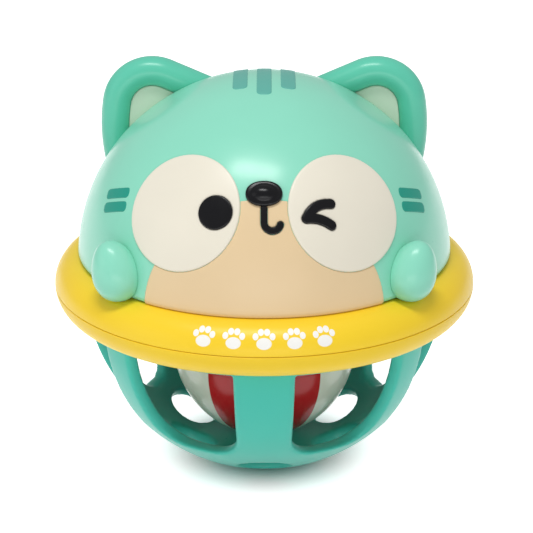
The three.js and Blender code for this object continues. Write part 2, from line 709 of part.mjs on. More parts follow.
// Beads: lie at the bottom of the ball, against the sleeve
everyTurn(BEAD_COUNT, 180 / BEAD_COUNT).forEach((turn, i) => {
  const reach = BALL_R - BALL_WALL - BEAD_R - GAP;
  const r = sleeveR + BEAD_R + GAP;
  const place = ringPlace(turn, r);
  const bead = new THREE.SphereGeometry(BEAD_R, 8, 5);
  const drop = Math.sqrt(reach ** 2 - r ** 2);
  piece(ball, `bead_${i + 1}`, bead, 'steel').position.set(place.x, place.y, -drop);
});

export default toy;
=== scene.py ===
import bmesh
import bpy
import math
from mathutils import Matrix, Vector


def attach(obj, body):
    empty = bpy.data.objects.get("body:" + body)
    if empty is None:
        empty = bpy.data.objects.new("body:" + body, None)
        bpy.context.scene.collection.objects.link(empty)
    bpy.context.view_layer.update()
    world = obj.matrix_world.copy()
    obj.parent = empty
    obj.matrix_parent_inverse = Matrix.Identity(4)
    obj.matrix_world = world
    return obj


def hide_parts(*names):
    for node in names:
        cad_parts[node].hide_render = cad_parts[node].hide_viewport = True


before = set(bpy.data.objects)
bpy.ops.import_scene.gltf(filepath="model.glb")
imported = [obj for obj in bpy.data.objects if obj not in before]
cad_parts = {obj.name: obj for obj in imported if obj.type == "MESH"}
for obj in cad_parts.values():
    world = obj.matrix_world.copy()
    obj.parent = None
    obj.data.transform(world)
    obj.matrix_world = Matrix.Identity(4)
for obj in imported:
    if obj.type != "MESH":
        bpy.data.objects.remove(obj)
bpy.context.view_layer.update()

# Cage: a ball shell moulded in one piece from teal plastic. Upright ribs divide tall windows, a
# row of round holes lies below them, and the rim curves in under the ring as a saddle, from
# which a collar with a ledge rises. All its edges are softly rounded.


class Wire:
    """A value in a node tree. An expression on it adds the Math nodes that work it out."""

    def __init__(self, tree, socket=None):
        self.tree = tree
        self.socket = socket

    def node(self, kind, settings=None, sockets=None, out=0):
        """Adds any node: its settings first, then the values or links of its sockets."""
        made = self.tree.nodes.new(kind)
        for name, value in (settings or {}).items():
            setattr(made, name, value)
        for name, value in (sockets or {}).items():
            if isinstance(value, Wire):
                self.tree.links.new(value.socket, made.inputs[name])
            else:
                made.inputs[name].default_value = value
        return Wire(self.tree, made.outputs[out])

    def math(self, operation, *others):
        return self.node("ShaderNodeMath", {"operation": operation}, dict(enumerate((self, *others))))

    def __add__(self, other):
        return self.math("ADD", other)

    __radd__ = __add__

    def __sub__(self, other):
        return self.math("SUBTRACT", other)

    def __rsub__(self, other):
        return self.math("MULTIPLY_ADD", -1, other)

    def __mul__(self, other):
        return self.math("MULTIPLY", other)

    __rmul__ = __mul__

    def __truediv__(self, other):
        return self.math("DIVIDE", other)

    def __neg__(self):
        return self.math("MULTIPLY", -1)

    def __abs__(self):
        return self.math("ABSOLUTE")


def both(first, second, soft=0):
    """Distance to the overlap of two forms, its edge rounded over the soft width."""
    return first.math("SMOOTH_MAX", second, soft) if soft else first.math("MAXIMUM", second)


def either(first, second, soft=0):
    """Distance to two forms together, the corner between them filled over the soft width."""
    return first.math("SMOOTH_MIN", second, soft) if soft else first.math("MINIMUM", second)


def length(*parts):
    """Length of a vector from its parts."""
    total = parts[0] * parts[0]
    for part in parts[1:]:
        total = total + part * part
    return total.math("SQRT")


def round_both(first, second, r):
    """Overlap of two forms whose edge is an arc of radius r."""
    corner = length(both(first + r, 0), both(second + r, 0))
    return corner + either(both(first, second) + r, 0) - r


def tree_of(name, inputs):
    """An empty Geometry Nodes tree with named inputs, its wires, and a call that ends it."""
    tree = bpy.data.node_groups.new(name, "GeometryNodeTree")
    for label, kind in inputs.items():
        tree.interface.new_socket(label, in_out="INPUT", socket_type="NodeSocket" + kind)
    tree.interface.new_socket("Material", in_out="INPUT", socket_type="NodeSocketMaterial")
    tree.interface.new_socket("Mesh", in_out="OUTPUT", socket_type="NodeSocketGeometry")
    root = Wire(tree)
    start = root.node("NodeGroupInput").socket.node
    wires = {label: Wire(tree, start.outputs[label]) for label in [*inputs, "Material"]}

    def end(made):
        smooth = made.node("GeometryNodeSetShadeSmooth", {}, {"Geometry": made})
        whole = made.node("GeometryNodeRealizeInstances", {}, {"Geometry": smooth})
        finish = {"Geometry": whole, "Material": wires["Material"]}
        dressed = made.node("GeometryNodeSetMaterial", {}, finish)
        last = tree.nodes.new("NodeGroupOutput")
        tree.links.new(dressed.socket, last.inputs["Mesh"])
        return tree

    return root, wires, end


def axes(spot):
    """The x, y and z of a wire that carries a place."""
    parts = spot.node("ShaderNodeSeparateXYZ", {}, {0: spot}).socket.node.outputs
    return [Wire(spot.tree, part) for part in parts]


def settled(name, tree, values, start=None):
    """The plain mesh that a tree makes, as an object at the origin."""
    source = bpy.data.objects.new(name + "_source", start or bpy.data.meshes.new(name + "_start"))
    bpy.context.scene.collection.objects.link(source)
    modifier = source.modifiers.new("form", "NODES")
    modifier.node_group = tree
    for item in tree.interface.items_tree:
        if item.in_out == "INPUT" and item.name in values:
            modifier[item.identifier] = values[item.name]
    evaluated = source.evaluated_get(bpy.context.evaluated_depsgraph_get())
    mesh = bpy.data.meshes.new_from_object(evaluated)
    source.modifiers.remove(modifier)
    bpy.data.objects.remove(source)
    made = bpy.data.objects.new(name, mesh)
    bpy.context.scene.collection.objects.link(made)
    return made


METRE = 1000


def formed(name, rule, low, high, cell, material, **sizes):
    """Mesh round the space in which a rule of the place, in millimetres, is below zero."""
    labels = {label.replace("_", " ").capitalize(): value for label, value in sizes.items()}
    root, wires, end = tree_of(name, {label: "Float" for label in labels})
    place = [part * METRE for part in axes(root.node("GeometryNodeInputPosition"))]
    distance = rule(place, {key: wires[label] for key, label in zip(sizes, labels)})
    volume = root.node("GeometryNodeVolumeCube", {}, {
        "Density": 1 - distance, "Min": [v / METRE for v in low], "Max": [v / METRE for v in high],
        **{"Resolution " + axis: round((high[i] - low[i]) / cell) + 1 for i, axis in enumerate("XYZ")}})
    skin = root.node("GeometryNodeVolumeToMesh", {}, {"Volume": volume, "Threshold": 1.0})
    return settled(name, end(skin), {**labels, "Material": material})


def fitted(piece, body, slot, *nodes):
    """Puts a finished piece on its body, in place of its CAD nodes."""
    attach(piece, body)
    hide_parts(*nodes)


def linear(colour, lift=1.0):
    """A written sRGB colour, 0 to 255, as Blender's linear one."""
    def channel(level):
        level = level / 255
        return level / 12.92 if level <= 0.04045 else ((level + 0.055) / 1.055) ** 2.4
    return (*[min(1, channel(level) * lift) for level in colour], 1)


GRAIN_DEPTH = 0.02
GRAIN_SHEEN = 0.06
FLOW_RELIEF = 2
FLOW_SHEEN = 0.12
COAT_ROUGHNESS = 0.2


def plastic(name, colour, roughness=0.3, grain=0.15, cloud=0.04, paint=None, ior=1.45, coat=0):
    """Moulded plastic: faint clouds in its colour, flow marks in its sheen and a fine grain.
    paint takes the object's coordinates and the plain colour, and gives the painted colour and
    how far the paint stands up."""
    material = bpy.data.materials.new(name)
    material.use_nodes = True
    shader = material.node_tree.nodes["Principled BSDF"]
    root = Wire(material.node_tree)
    spot = root.node("ShaderNodeTexCoord", out="Object")
    drift = root.node("ShaderNodeTexNoise", {}, {"Vector": spot, "Scale": 45, "Detail": 2})
    stretch = root.node("ShaderNodeMapping", {}, {"Vector": spot, "Scale": (1, 1, 0.35)})
    flow = root.node("ShaderNodeTexNoise", {}, {"Vector": stretch, "Scale": 260, "Detail": 3})
    fine = root.node("ShaderNodeTexNoise", {}, {"Vector": spot, "Scale": 700, "Detail": 0})
    tint = root.node("ShaderNodeMix", {"data_type": "RGBA"}, {
        0: drift, 6: linear(colour, 1 - cloud), 7: linear(colour, 1 + cloud)}, out=2)
    relief = fine + flow * FLOW_RELIEF
    if paint:
        tint, stand = paint(spot, tint)
        relief = relief + stand
    sheen = roughness + (flow - 0.5) * FLOW_SHEEN + (fine - 0.5) * GRAIN_SHEEN
    bump = root.node("ShaderNodeBump", {}, {
        "Height": relief, "Strength": grain, "Distance": GRAIN_DEPTH / METRE})
    links = material.node_tree.links
    links.new(tint.socket, shader.inputs["Base Color"])
    links.new(sheen.socket, shader.inputs["Roughness"])
    links.new(bump.socket, shader.inputs["Normal"])
    shader.inputs["IOR"].default_value = ior
    shader.inputs["Coat Weight"].default_value = coat
    shader.inputs["Coat Roughness"].default_value = COAT_ROUGHNESS
    return material


RING_R = 50.3
RING_Z = 52.71
TUBE_R = 7.68
CAGE_R = 49.8
CAGE_Z = 48.31
CAGE_WALL = 3.4
SADDLE_R = 8
COLLAR_R = 42.3
COLLAR_BORE = 39.7
LEDGE_Z = 58.41
LEDGE_T = 2.4
LEDGE_BORE = 33.2
FLOOR_Z = 5.3
RECESS_R = 8.6
RECESS_DEPTH = 2.6
SPINDLE_BORE = 2.3
WINDOW_TOP = 43.4
SILL_Z = 14.8
RIB_TAPER = 0.03
SADDLE_EDGE = 1
LEDGE_EDGE = 0.8
FLOOR_FILLET = 3
WALL_EDGE = 0.6
CAGE_LOW = (-50.5, -50.5, -0.9)
CAGE_HIGH = (50.5, 50.5, 60)
CAGE_CELL = 0.66
RIBS = [
    (0, "rib_width"), (53.4, "front_rib_width"), (92, "side_rib_width"), (136, "rib_width"),
    (180, "rib_width")]
HOLES = [(0, 32.5), (64, 29.5), (116, 29.5), (180, 32.5)]


def cage_rule(place, size):
    """Distance from the cage. Both sides are alike. A rib has its turn from the front and its
    width, and a hole its turn and its angle up from the foot, in degrees."""
    x, y, z = place
    x = abs(x)
    r = length(x, y)
    depth = CAGE_Z - z
    span = length(r, depth)
    tube = length(r - RING_R, z - RING_Z)
    outside = both(span - size["ball_radius"], either(z - RING_Z, r - COLLAR_R))
    outside = both(outside, SADDLE_R - tube, SADDLE_EDGE)
    outside = both(both(outside, -z, SADDLE_EDGE), z - LEDGE_Z, LEDGE_EDGE)
    cavity = both(span - size["ball_radius"] + CAGE_WALL, FLOOR_Z - z, FLOOR_FILLET)
    cavity = both(cavity, SADDLE_R + COLLAR_R - COLLAR_BORE - tube)
    cavity = both(cavity, either(z - RING_Z, r - COLLAR_BORE))
    cavity = both(cavity, either(z - LEDGE_Z + LEDGE_T, r - LEDGE_BORE))
    shell = both(outside, -cavity, WALL_EDGE)
    recess = both(r - RECESS_R, z - RECESS_DEPTH)
    shell = both(shell, -either(recess, r - SPINDLE_BORE), WALL_EDGE)
    narrowing = both(depth, 0) * RIB_TAPER
    for (start, start_width), (stop, stop_width) in zip(RIBS, RIBS[1:]):
        start, stop = math.radians(start), math.radians(stop)
        past_start = x * math.cos(start) + y * math.sin(start)
        past_stop = x * math.cos(stop) + y * math.sin(stop)
        from_start = size[start_width] * 0.5 - narrowing - past_start
        from_stop = size[stop_width] * 0.5 - narrowing + past_stop
        window = round_both(both(from_start, from_stop), SILL_Z - z, size["window_corner"])
        window = both(window, z - WINDOW_TOP)
        shell = both(shell, -window, size["edge"])
    for turn, polar in HOLES:
        turn, polar = math.radians(turn), math.radians(polar)
        out = (math.sin(turn) * math.sin(polar), -math.cos(turn) * math.sin(polar))
        along = x * out[0] + y * out[1] + depth * math.cos(polar)
        aside = both(span * span - along * along, 0).math("SQRT")
        hole = both(aside - size["hole_radius"], -along)
        shell = both(shell, -hole, size["edge"])
    return shell


teal = plastic("teal_moulding", (72, 200, 182), roughness=0.32, ior=1.35)
cage = formed(
    "cage_shell", cage_rule, CAGE_LOW, CAGE_HIGH, CAGE_CELL, teal,
    ball_radius=CAGE_R, rib_width=16.4, front_rib_width=11.4, side_rib_width=8.4,
    window_corner=6, hole_radius=7, edge=1.5)
fitted(cage, "toy", "teal_plastic", "cage")

# Foot cap, spindle, sleeve, washers, deck and screws: the hidden works. A rubber cup closes the
# foot, a steel pin carries the ball on a nylon sleeve between nylon washers, and four pan-head
# screws draw the head, with the nylon deck that closes it, down on the collar's ledge.

TURNING_R = 10
WELD = 0.001
SHARP_EDGE = math.radians(35)


def turned(name, profile, material, steps, count=1, circle=0.0, start=0.0):
    """Profile of (radius, height) points in millimetres turned about the upright axis. With a
    circle, the turned piece repeats round it."""
    root, wires, end = tree_of(name, {
        "Profile": "Geometry", "Steps": "Int", "Count": "Int", "Circle": "Float", "Start": "Float"})
    path = root.node("GeometryNodeCurvePrimitiveCircle", {}, {
        "Resolution": wires["Steps"], "Radius": TURNING_R / METRE})
    body = root.node("GeometryNodeCurveToMesh", {}, {"Curve": path, "Profile Curve": wires["Profile"]})
    body = root.node("GeometryNodeMergeByDistance", {}, {"Geometry": body, "Distance": WELD / METRE})
    spots = root.node("GeometryNodePoints", {}, {"Count": wires["Count"]})
    index = root.node("GeometryNodeInputIndex")
    turn = wires["Start"] + index * math.tau / wires["Count"]
    place = root.node("ShaderNodeCombineXYZ", {}, {
        "X": turn.math("SINE") * wires["Circle"], "Y": turn.math("COSINE") * -1 * wires["Circle"]})
    spots = root.node("GeometryNodeSetPosition", {}, {"Geometry": spots, "Position": place})
    copies = root.node("GeometryNodeInstanceOnPoints", {}, {"Points": spots, "Instance": body})
    # The points run clockwise, so that the faces point outwards.
    area = sum(a[0] * b[1] - b[0] * a[1] for a, b in zip(profile, profile[1:] + profile[:1]))
    points = profile if area < 0 else profile[::-1]
    curve = bpy.data.curves.new(name + "_profile", "CURVE")
    curve.dimensions = "3D"
    spline = curve.splines.new("POLY")
    spline.points.add(len(points) - 1)
    spline.use_cyclic_u = min(points[0][0], points[-1][0]) > 0
    for point, (r, z) in zip(spline.points, points):
        point.co = ((r - TURNING_R) / METRE, -z / METRE, 0, 1)
    values = {"Steps": steps, "Count": count, "Circle": circle / METRE, "Start": start}
    made = settled(name, end(copies), {**values, "Material": material}, curve)
    made.data.set_sharp_from_angle(angle=SHARP_EDGE)
    return made


def arc(x, y, r, start, stop, steps):
    """Points on an arc round x and y, from one angle in degrees to another."""
    turns = [math.radians(start + (stop - start) * i / steps) for i in range(steps + 1)]
    return [(x + r * math.cos(turn), y + r * math.sin(turn)) for turn in turns]


TOOL_MARK_DEPTH = 0.01
TOOL_MARK_SHEEN = 0.2


def metal(name, colour, roughness):
    """Bright metal with turning marks round the upright axis."""
    material = bpy.data.materials.new(name)
    material.use_nodes = True
    shader = material.node_tree.nodes["Principled BSDF"]
    root = Wire(material.node_tree)
    spot = root.node("ShaderNodeTexCoord", out="Object")
    squash = root.node("ShaderNodeMapping", {}, {"Vector": spot, "Scale": (0.05, 0.05, 1)})
    marks = root.node("ShaderNodeTexNoise", {}, {"Vector": squash, "Scale": 9000, "Detail": 3})
    cloud = root.node("ShaderNodeTexNoise", {}, {"Vector": spot, "Scale": 300})
    tint = root.node("ShaderNodeMix", {"data_type": "RGBA"}, {
        0: cloud, 6: linear(colour, 0.9), 7: linear(colour)}, out=2)
    bump = root.node("ShaderNodeBump", {}, {
        "Height": marks, "Strength": 0.2, "Distance": TOOL_MARK_DEPTH / METRE})
    links = material.node_tree.links
    links.new(tint.socket, shader.inputs["Base Color"])
    sheen = roughness + (marks - 0.5) * TOOL_MARK_SHEEN
    links.new(sheen.socket, shader.inputs["Roughness"])
    links.new(bump.socket, shader.inputs["Normal"])
    shader.inputs["Metallic"].default_value = 1
    return material


SCREW_CIRCLE = 36.45
SCREW_SEAT = 55.71
SCREW_TOP = 69.4
SCREW_R = 1.4
SCREW_HEAD_R = 2.8
THREAD_START = 1
THREAD_DEPTH = 0.22
THREAD_STEP = 0.35
THREAD_STEPS = 36
steel = metal("plated_steel", (196, 198, 200), 0.3)
nylon = plastic("natural_nylon", (233, 230, 218), roughness=0.45)
rubber = plastic("soft_rubber", (60, 140, 125), roughness=0.75, grain=0.6)
screw_head = [
    (0, -1.8), (2.3, -1.75), (2.7, -1.35), (SCREW_HEAD_R, -0.9), (SCREW_HEAD_R, 0), (SCREW_R, 0)]
screw_profile = [(r, SCREW_SEAT + z) for r, z in screw_head]
for i in range(THREAD_STEPS):
    r = SCREW_R - THREAD_DEPTH * (i % 2)
    screw_profile.append((r, SCREW_SEAT + THREAD_START + i * THREAD_STEP))
screw_profile.append((0, SCREW_TOP))
screws = turned(
    "case_screws", screw_profile, steel, steps=32, count=4, circle=SCREW_CIRCLE, start=math.pi / 4)
fitted(screws, "toy", "steel", "case_screw_1", "case_screw_2", "case_screw_3", "case_screw_4")
for node, material in {
        "spindle": steel, "lower_washer": nylon, "upper_washer": nylon, "deck_plate": nylon,
        "foot_cap": rubber, "ball_sleeve": nylon}.items():
    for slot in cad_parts[node].material_slots:
        slot.material = material

# Swim ring: a hollow tube of yellow plastic, moulded in two halves that meet at a fine line round
# the middle and are held between the head and the cage's saddle. White paw prints stand up a
# little from its front.

SEAM = 0.05
SEAM_RISE = 0.15
SEAM_CHAMFER = 0.2
TUBE_WALL = 2
INNER_EDGE = 3
PRINT_PITCH = 7.7
PRINT_COUNT = 5
PRINT_UP = math.radians(35)
PRINT_STAND = 12
PRINT_CRISP = 8
PRINT_PADS = [
    (0, -1.1, 1.9, 1.5), (-2.15, 0.75, 0.75, 0.95), (-0.8, 1.95, 0.78, 1.0), (0.8, 1.95, 0.78, 1.0),
    (2.15, 0.75, 0.75, 0.95)]


def clamped(value):
    """Value kept between 0 and 1."""
    return value.math("MAXIMUM", 0).math("MINIMUM", 1)


def prints(spot, tint):
    """A row of white paw prints over the plain colour, and how far they stand up. Each pad has its
    place to the right and above, half its width and half its height."""
    x, y, z = [part * METRE for part in axes(spot)]
    side = x.math("ARCTAN2", -y) * (RING_R + TUBE_R * math.cos(PRINT_UP))
    up = ((z - RING_Z).math("ARCTAN2", length(x, y) - RING_R) - PRINT_UP) * TUBE_R
    along = side.math("WRAP", PRINT_PITCH / 2, -PRINT_PITCH / 2)
    edge = abs(side) - PRINT_COUNT * PRINT_PITCH / 2
    pads = [
        length((along - right) / wide, (up - above) / high) - 1
        for right, above, wide, high in PRINT_PADS]
    nearest = pads[0]
    for pad in pads[1:]:
        nearest = either(nearest, pad)
    mask = clamped(0.5 - both(nearest, edge) * PRINT_CRISP)
    white = spot.node("ShaderNodeMix", {"data_type": "RGBA"}, {
        0: mask, 6: tint, 7: linear((250, 249, 244))}, out=2)
    return white, mask * PRINT_STAND


yellow = plastic("yellow_moulding", (255, 214, 44), roughness=0.4, ior=1.38)
printed = plastic("printed_yellow", (255, 214, 44), roughness=0.36, ior=1.4, paint=prints)


def half_ring(sign):
    """Profile of the upper or lower half: chamfered lips, then the outside and the inside."""
    edge = math.degrees(math.asin((SEAM + SEAM_RISE) / TUBE_R))
    lip = TUBE_R - SEAM_CHAMFER
    outline = [(lip, SEAM), *arc(0, 0, TUBE_R, edge, 180 - edge, steps=64), (-lip, SEAM)]
    inner = TUBE_R - TUBE_WALL
    inside = arc(0, 0, inner, 180 - INNER_EDGE, INNER_EDGE, steps=24)
    outline += [(-inner, SEAM), *inside, (inner, SEAM)]
    return [(RING_R + x, RING_Z + sign * y) for x, y in outline]


for name, sign, material in (("ring_upper", 1, printed), ("ring_lower", -1, yellow)):
    half = turned(name + "_half", half_ring(sign), material, steps=256)
    fitted(half, "toy", "yellow_plastic", name)

# Head: a thin dome moulded in mint plastic, with a rolled rim that rests on the ring and four
# posts inside for the screws. The face's inlays sit in its skin, and a shallow hollow lies in
# front of each ear.

HEAD_R = 51.4
HEAD_Z = 58.71
HEAD_WALL = 2.6
RIM_Z = 1.76
RIM_FILLET = 1.6
mint = plastic("mint_moulding", (143, 223, 197), roughness=0.32, grain=0.05, ior=1.3, coat=0.35)


def raised(outline, height):
    """Outline lifted to its height, its ends exactly on the axis."""
    return [(max(0, round(r, 9)), height + z) for r, z in outline]


def head_profile():
    """Profile of the dome: its outside from the top, the rolled rim and its inside."""
    fold = math.sqrt((HEAD_R - RIM_FILLET) ** 2 - (RIM_Z + RIM_FILLET) ** 2)
    turn = math.degrees(math.atan2(RIM_Z + RIM_FILLET, fold))
    inner = HEAD_R - HEAD_WALL
    low = math.degrees(math.asin(RIM_Z / inner))
    outline = arc(0, 0, HEAD_R, 90, turn, steps=96)
    outline += arc(fold, RIM_Z + RIM_FILLET, RIM_FILLET, turn, -90, steps=10)[1:]
    outline += arc(0, 0, inner, low, 90, steps=40)
    return raised(outline, HEAD_Z)


SCOOP_LEAN = math.radians(34)
SCOOP_Y = 1.5
SCOOP_HALF_WIDTH = 14.5
SCOOP_HALF_LENGTH = 12
SCOOP_DEPTH = 0.9


def scooped(dome):
    """The dome with a shallow hollow pressed in its skin in front of each ear."""
    root, wires, end = tree_of("ear_scoops", {"Dome": "Geometry", "Depth": "Float"})
    spot = root.node("GeometryNodeInputPosition")
    x, y, z = [part * METRE for part in axes(spot)]
    z = z - HEAD_Z
    wide = (abs(x).math("ARCTAN2", z) - SCOOP_LEAN) * (HEAD_R / SCOOP_HALF_WIDTH)
    long = (y - SCOOP_Y) / SCOOP_HALF_LENGTH
    hollow = both(1 - wide * wide - long * long, 0)
    outer = length(x, y, z).math("GREATER_THAN", HEAD_R - HEAD_WALL / 2)
    middle = root.node("FunctionNodeInputVector", {"vector": (0, 0, HEAD_Z / METRE)})
    out = root.node("ShaderNodeVectorMath", {"operation": "SUBTRACT"}, {0: spot, 1: middle})
    shift = root.node("ShaderNodeVectorMath", {"operation": "SCALE"}, {
        0: out, "Scale": hollow * hollow * outer * wires["Depth"] / -HEAD_R})
    pressed = root.node("GeometryNodeSetPosition", {}, {"Geometry": wires["Dome"], "Offset": shift})
    values = {"Depth": SCOOP_DEPTH, "Material": mint}
    made = settled("head_dome_scooped", end(pressed), values, dome.data)
    bpy.data.objects.remove(dome)
    return made


DECK_TOP = 60.91
POST_R = 3.2
POST_BORE = 1.7
POST_LOW = DECK_TOP + 0.3
POST_HIGH = HEAD_Z + 32.4
shell = scooped(turned("head_dome", head_profile(), mint, steps=320))
post_profile = [(POST_BORE, POST_LOW), (POST_R, POST_LOW), (POST_R, POST_HIGH), (POST_BORE, POST_HIGH)]
posts = turned(
    "head_posts", post_profile, mint, steps=24, count=4, circle=SCREW_CIRCLE, start=math.pi / 4)


def merged(first, second):
    """One object of two closed meshes."""
    both_meshes = bmesh.new()
    both_meshes.from_mesh(first.data)
    both_meshes.from_mesh(second.data)
    both_meshes.to_mesh(first.data)
    both_meshes.free()
    bpy.data.objects.remove(second)
    return first


fitted(merged(shell, posts), "toy", "mint_plastic", "head_shell")

# Eye pads: two round inlays of cream plastic that stand a little proud of the dome, with softly
# rounded edges. The open eye is a gloss black disc, and the winking one a bent black stroke, each
# pressed in a recess of its pad.

RIM_ROLL = 2.8


def from_head(place):
    """A place as seen from the middle of the dome's ball."""
    x, y, z = place
    return x, y, z - HEAD_Z


def skin(place):
    """Height over the dome's skin, which rolls in at the rim."""
    x, y, z = from_head(place)
    return both(length(x, y, z) - HEAD_R, RIM_Z - z, RIM_ROLL)


def skin_frame(side, up):
    """Level, upward and outward directions at a spot on the skin."""
    rise = up / HEAD_R
    turn = side / (HEAD_R * math.cos(rise))
    out = (math.sin(turn) * math.cos(rise), -math.cos(turn) * math.cos(rise), math.sin(rise))
    level = (math.cos(turn), math.sin(turn), 0)
    upward = (-out[2] * level[1], out[2] * level[0], out[0] * level[1] - out[1] * level[0])
    return level, upward, out


def distance_along(place, direction):
    """How far a place lies from the middle of the dome's ball in a direction."""
    x, y, z = from_head(place)
    return x * direction[0] + y * direction[1] + z * direction[2]


def flat_spot(place, side, up):
    """How far a place lies to the right of a spot on the skin, and above it."""
    level, upward = skin_frame(side, up)[:2]
    return distance_along(place, level), distance_along(place, upward)


def round_spot(place, side, up, r):
    """Distance along the skin from a round of radius r."""
    level, upward, out = skin_frame(side, up)
    aside = length(distance_along(place, level), distance_along(place, upward))
    return aside.math("ARCTAN2", distance_along(place, out)) * HEAD_R - r


def inlaid(outline, height, low, high, soft):
    """Slab of the skin between two heights, with the given outline."""
    return both(outline, both(height - high, low - height), soft)


def stroke(x, y, points):
    """Distance from a line through points."""
    nearest = None
    for start, stop in zip(points, points[1:]):
        run, rise = stop[0] - start[0], stop[1] - start[1]
        share = clamped(((x - start[0]) * run + (y - start[1]) * rise) / (run * run + rise * rise))
        away = length(x - start[0] - share * run, y - start[1] - share * rise)
        nearest = away if nearest is None else either(nearest, away)
    return nearest


def box_round(places, margin):
    """Lowest and highest corner round some points, in millimetres."""
    low = [min(p[i] for p in places) - margin for i in range(3)]
    high = [max(p[i] for p in places) + margin for i in range(3)]
    return low, high


def skin_point(side, up, height):
    """Place at a height over a spot on the skin."""
    x, y, z = [part * (HEAD_R + height) for part in skin_frame(side, up)[2]]
    return x, y, z + HEAD_Z


PATCH_STEPS = 24
PATCH_MARGIN = 0.8


def patch_box(side, up, reach, depth=1.6):
    """Box round an oval patch of the skin, for a piece that lies in it."""
    spots = []
    for height in (-depth, depth):
        spots.append(skin_point(side, up, height))
        for i in range(PATCH_STEPS):
            turn = math.tau * i / PATCH_STEPS
            for share in (0.5, 1):
                right, above = reach[0] * share * math.cos(turn), reach[1] * share * math.sin(turn)
                spots.append(skin_point(side + right, up + above, height))
    return box_round(spots, PATCH_MARGIN)


EYE_R = 15.6
EYE_SIDE = 21.85
EYE_UP = 27.7
EYE_PROUD = 0.5
PAD_DEPTH = 0.8
PAD_EDGE = 0.6
PAD_CELL = 0.28
RECESS_GAP = 0.03
RECESS_EDGE = 0.15
MARK_PROUD = 0.95
MARK_FOOT = 0.1
MARK_EDGE = 0.5
MARK_CELL = 0.16
PUPIL_R = 4.4
PUPIL_SIDE = 9.5 - EYE_SIDE
PUPIL_UP = 28.4
WINK_SIDE = EYE_SIDE - 8.3
WINK_UP = 27.4
WINK_WIDTH = 2.5
WINK_CORNER = (-2.95, -0.4)
WINK_TIPS = [(4.1, 2.75), (3.4, -2.8)]
WINK_BOWS = [1.3, 0.65]
WINK_STEPS = 6
cream = plastic("cream_inlay", (237, 231, 214), roughness=0.36)
black = plastic("gloss_black", (17, 17, 20), roughness=0.24, cloud=0.15, ior=1.32)


def wink_line(tip, bow):
    """Points on a bowed line from the corner of the winking eye to one of its tips."""
    run, rise = tip[0] - WINK_CORNER[0], tip[1] - WINK_CORNER[1]
    span = math.hypot(run, rise)
    bend = ((WINK_CORNER[0] + tip[0]) / 2 - rise / span * 2 * bow,
            (WINK_CORNER[1] + tip[1]) / 2 + run / span * 2 * bow)
    points = []
    for i in range(WINK_STEPS + 1):
        share = i / WINK_STEPS
        pulls = ((1 - share) ** 2, WINK_CORNER), (2 * share * (1 - share), bend), (share * share, tip)
        points.append([sum(pull * spot[axis] for pull, spot in pulls) for axis in (0, 1)])
    return points


def wink_outline(place):
    x, y = flat_spot(place, WINK_SIDE, WINK_UP)
    upper, lower = [stroke(x, y, wink_line(tip, bow)) for tip, bow in zip(WINK_TIPS, WINK_BOWS)]
    return either(upper, lower) - WINK_WIDTH / 2


def pupil_outline(place):
    return round_spot(place, PUPIL_SIDE, PUPIL_UP, PUPIL_R)


def pad_rule(side, mark):
    """Rule of a pad with a recess for its mark."""
    def rule(place, size):
        height = skin(place)
        outline = round_spot(place, side * EYE_SIDE, EYE_UP, EYE_R)
        pad = inlaid(outline, height, -PAD_DEPTH, size["proud"], PAD_EDGE)
        recess = both(mark(place) - RECESS_GAP, -height)
        return both(pad, -recess, RECESS_EDGE)
    return rule


for name, side, mark in (("left", -1, pupil_outline), ("right", 1, wink_outline)):
    low, high = patch_box(side * EYE_SIDE, EYE_UP, reach=(18.5, 16.5))
    pad = formed(
        f"eye_pad_disc_{name}", pad_rule(side, mark), low, high, PAD_CELL, cream, proud=EYE_PROUD)
    fitted(pad, "toy", "cream_plastic", f"eye_pad_{name}")


def mark_rule(outline, foot, edge):
    """Rule of a black mark on the face, with the height of its foot over the skin."""
    def rule(place, size):
        return inlaid(outline(place), skin(place), foot, size["proud"], edge)
    return rule


low, high = patch_box(PUPIL_SIDE, PUPIL_UP, reach=(5.5, 5.5), depth=1.2)
pupil_rule = mark_rule(pupil_outline, MARK_FOOT, MARK_EDGE)
pupil = formed("pupil_disc", pupil_rule, low, high, MARK_CELL, black, proud=MARK_PROUD)
fitted(pupil, "toy", "black_plastic", "pupil")
low, high = patch_box(WINK_SIDE, WINK_UP, reach=(6.5, 5.5), depth=1.2)
wink_rule = mark_rule(wink_outline, MARK_FOOT, MARK_EDGE)
wink = formed("wink_stroke", wink_rule, low, high, MARK_CELL, black, proud=MARK_PROUD)
fitted(wink, "toy", "black_plastic", "wink_mark")

# Muzzle, mouth and nose: plastic pieces pressed in the dome. A peach inlay lies between the eye
# pads down to the ring, a hooked black mouth in a slot of it, and over it stands an oval nose
# button with a lip round its raised middle.

MUZZLE_R = 33.3
MUZZLE_UP = -0.8
MUZZLE_LOW = (-35, -53, HEAD_Z + 1)
MUZZLE_HIGH = (35, -36.5, HEAD_Z + 33.5)
MUZZLE_DEPTH = 0.8
MUZZLE_PROUD = 0.22
MUZZLE_EDGE = 0.12
MUZZLE_CELL = 0.3
PAD_GAP = 0.01
MOUTH_UP = 26.4
MOUTH_HOOK = 2.1
MOUTH_HOOK_END = 348
MOUTH_STEM = 3.6
MOUTH_WIDTH = 1.75
MOUTH_DEPTH = 0.6
MOUTH_PROUD = 0.6
MOUTH_EDGE = 0.4
NOSE_UP = 33.9
NOSE_LIP = 1.2
NOSE_SINK = 0.4
NOSE_MARGIN = (1.6, 1.4)
NOSE_EDGE = 0.5
NOSE_CROWN_SCALE = 3
NOSE_CELL = 0.18
OVAL_POWER = 2.15
peach = plastic("peach_inlay", (232, 205, 162), roughness=0.38)


